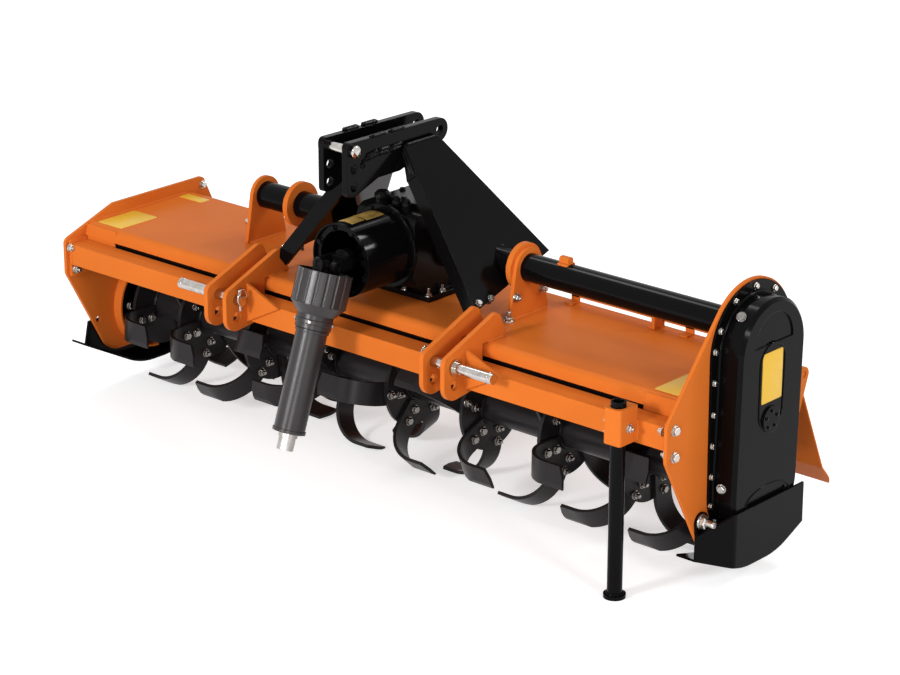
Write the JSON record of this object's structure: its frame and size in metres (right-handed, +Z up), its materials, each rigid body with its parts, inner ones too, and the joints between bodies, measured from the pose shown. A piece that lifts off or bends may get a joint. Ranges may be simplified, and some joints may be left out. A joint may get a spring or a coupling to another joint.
{
  "type": "rotavator",
  "caption": "Tractor-mounted rotary tiller with hood, side gear case, tined rotor, headstock, parking leg, skids and hanging half drive shaft.",
  "frame": {"origin": "on the ground under the middle of the machine's box", "axes": "+X to the gear case side, -Y towards the tractor, +Z up"},
  "size_m": [2.204, 0.9715, 0.963],
  "materials": {
    "orange_paint": "gloss powder coat",
    "black_paint": "gloss black enamel",
    "dark_casting": "painted casting",
    "tine_steel": "satin black on forged steel",
    "zinc_plate": "bright zinc",
    "guard_plastic": "moulded black plastic",
    "bare_steel": "oiled bare steel"
  },
  "bodies": {
    "frame": {"side_plate_left": "orange_paint", "side_plate_right": "orange_paint", "front_beam": "orange_paint", "hood": "orange_paint", "link_plate_left_inner": "orange_paint", "link_plate_left_outer": "orange_paint", "link_plate_right_inner": "orange_paint", "link_plate_right_outer": "orange_paint", "tube_flange_right": "orange_paint", "tube_flange_left": "orange_paint", "tube_clamp_right": "orange_paint", "tube_clamp_left": "orange_paint", "hood_brace": "orange_paint", "stand_sleeve": "orange_paint", "mast_plate_left": "black_paint", "mast_plate_right": "black_paint", "top_link_plate_left": "black_paint", "top_link_plate_right": "black_paint", "input_guard": "black_paint", "drive_tube_right": "black_paint", "drive_tube_left": "black_paint", "gear_case": "black_paint", "skid_right": "black_paint", "skid_left": "black_paint", "rotor_bearing": "black_paint", "gearbox_housing": "dark_casting", "gearbox_cover": "dark_casting", "input_yoke": "dark_casting", "link_pin_left": "zinc_plate", "link_pin_right": "zinc_plate", "top_link_pin": "zinc_plate"},
    "rotor": {"rotor": "tine_steel"},
    "leg": {"stand_leg": "black_paint"},
    "board": {"rear_board": "orange_paint"},
    "cross": {"pto_cross": "dark_casting"},
    "half_shaft": {"pto_yoke": "dark_casting", "pto_guard": "guard_plastic", "pto_inner_shaft": "bare_steel"}
  },
  "joints": [
    {"name": "rotor_spin", "type": "hinge", "parent": "frame", "child": "rotor", "pos_m": [-0.036, 0.06, 0.222], "axis": [1, 0, 0], "continuous": true},
    {"name": "leg_slide", "type": "slide", "parent": "frame", "child": "leg", "axis": [0, 0, 1], "range_m": [0, 0.3]},
    {"name": "board_lift", "type": "hinge", "parent": "frame", "child": "board", "pos_m": [-0.036, 0.305, 0.44], "axis": [1, 0, 0], "range_deg": [0, 45]},
    {"name": "shaft_lift", "type": "hinge", "parent": "frame", "child": "cross", "pos_m": [-0.036, -0.294, 0.64], "axis": [-1, 0, 0], "range_deg": [0, 75]},
    {"name": "shaft_sway", "type": "hinge", "parent": "cross", "child": "half_shaft", "pos_m": [-0.036, -0.294, 0.64], "axis": [0, 0.9397, -0.342], "range_deg": [-20, 20]}
  ]
}
